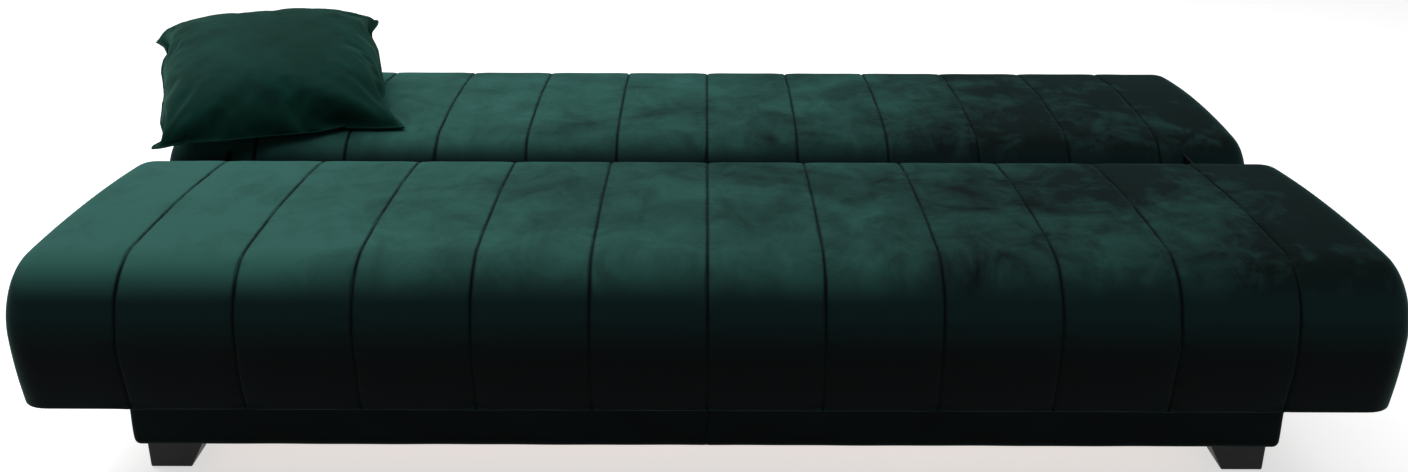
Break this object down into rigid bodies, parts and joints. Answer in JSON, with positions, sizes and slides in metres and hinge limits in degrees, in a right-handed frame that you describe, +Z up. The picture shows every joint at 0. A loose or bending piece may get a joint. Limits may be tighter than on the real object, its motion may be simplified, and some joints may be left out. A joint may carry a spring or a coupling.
{
  "type": "sofa bed",
  "caption": "Click-clack sofa bed folded flat: channel-stitched velvet halves on a bedding box with tapered feet, and a loose pillow.",
  "frame": {"origin": "on the floor under the hinge line at mid-width: the middle of the middle foot's sole", "axes": "+X to the right along the length, +Y from the seat half to the backrest half, +Z up"},
  "size_m": [2.0115, 1.166, 0.5324],
  "materials": {
    "velvet": "short-pile velvet, streaky nap",
    "pillow_velvet": "short-pile velvet, darker",
    "fibre_filling": "loose polyester fibre",
    "lining": "spun-bonded non-woven",
    "foam": "cut polyurethane foam",
    "pine": "planed, unvarnished",
    "chipboard": "raw sanded board",
    "hardboard": "smooth pressed fibre board",
    "zinc_steel": "black zinc plate",
    "spring_steel": "oiled drawn wire",
    "black_plastic": "moulded, fine grain",
    "rubber": "matt",
    "nylon": "natural"
  },
  "bodies": {
    "base": {"base_centre_partition": "chipboard", "base_corner_blocks": "pine", "base_cover_left": "velvet", "base_cover_right": "velvet", "base_floor_board": "hardboard", "base_front_panel": "chipboard", "base_panel_screws": "zinc_steel", "base_rear_panel": "chipboard", "base_side_panel_left": "chipboard", "base_side_panel_right": "chipboard", "bracket_bolts": "zinc_steel", "foot_studs": "zinc_steel", "front_foot_left": "black_plastic", "front_foot_right": "black_plastic", "hinge_bracket_left": "zinc_steel", "hinge_bracket_right": "zinc_steel", "middle_foot": "black_plastic", "pawl_rivets": "zinc_steel", "pivot_nuts": "zinc_steel", "pivot_pin_left": "zinc_steel", "pivot_pin_right": "zinc_steel", "pivot_washers": "nylon", "rear_foot_left": "black_plastic", "rear_foot_right": "black_plastic", "rest_buffers": "rubber"},
    "seat": {"seat_arm_bolts": "zinc_steel", "seat_cover": "velvet", "seat_dust_cover": "lining", "seat_end_rail_left": "pine", "seat_end_rail_right": "pine", "seat_foam": "foam", "seat_hinge_arm_left": "zinc_steel", "seat_hinge_arm_right": "zinc_steel", "seat_hinge_rail_left": "pine", "seat_hinge_rail_right": "pine", "seat_hinge_side_rail": "pine", "seat_middle_rail": "pine", "seat_outer_rail": "pine", "seat_spring_clips": "zinc_steel", "seat_springs": "spring_steel"},
    "backrest": {"backrest_arm_bolts": "zinc_steel", "backrest_cover": "velvet", "backrest_dust_cover": "lining", "backrest_end_rail_left": "pine", "backrest_end_rail_right": "pine", "backrest_foam": "foam", "backrest_hinge_arm_left": "zinc_steel", "backrest_hinge_arm_right": "zinc_steel", "backrest_hinge_rail_left": "pine", "backrest_hinge_rail_right": "pine", "backrest_hinge_side_rail": "pine", "backrest_middle_rail": "pine", "backrest_outer_rail": "pine", "backrest_spring_clips": "zinc_steel", "backrest_springs": "spring_steel"},
    "pawl_left": {"ratchet_pawl_left": "zinc_steel"},
    "pawl_right": {"ratchet_pawl_right": "zinc_steel"},
    "pillow": {"pillow_cover": "pillow_velvet", "pillow_filling": "fibre_filling"}
  },
  "joints": [
    {"name": "seat_lift", "type": "hinge", "parent": "base", "child": "seat", "pos_m": [0, 0, 0.328], "axis": [-1, 0, 0], "range_deg": [0, 30]},
    {"name": "backrest_raise", "type": "hinge", "parent": "base", "child": "backrest", "pos_m": [0, 0, 0.328], "axis": [1, 0, 0], "range_deg": [0, 75]},
    {"name": "pawl_left_turn", "type": "hinge", "parent": "base", "child": "pawl_left", "pos_m": [-0.833, 0.004, 0.3], "axis": [-1, 0, 0], "range_deg": [0, 12]},
    {"name": "pawl_right_turn", "type": "hinge", "parent": "base", "child": "pawl_right", "pos_m": [0.833, 0.004, 0.3], "axis": [-1, 0, 0], "range_deg": [0, 12]},
    {"name": "pillow_ride", "type": "slide", "parent": "backrest", "child": "pillow", "axis": [0, 0.9976, 0.0698], "range_m": [0, 0.1]}
  ],
  "couplings": [
    {"joint": "pillow_ride", "follows": "backrest_raise", "m_per_rad": 0.07639}
  ]
}
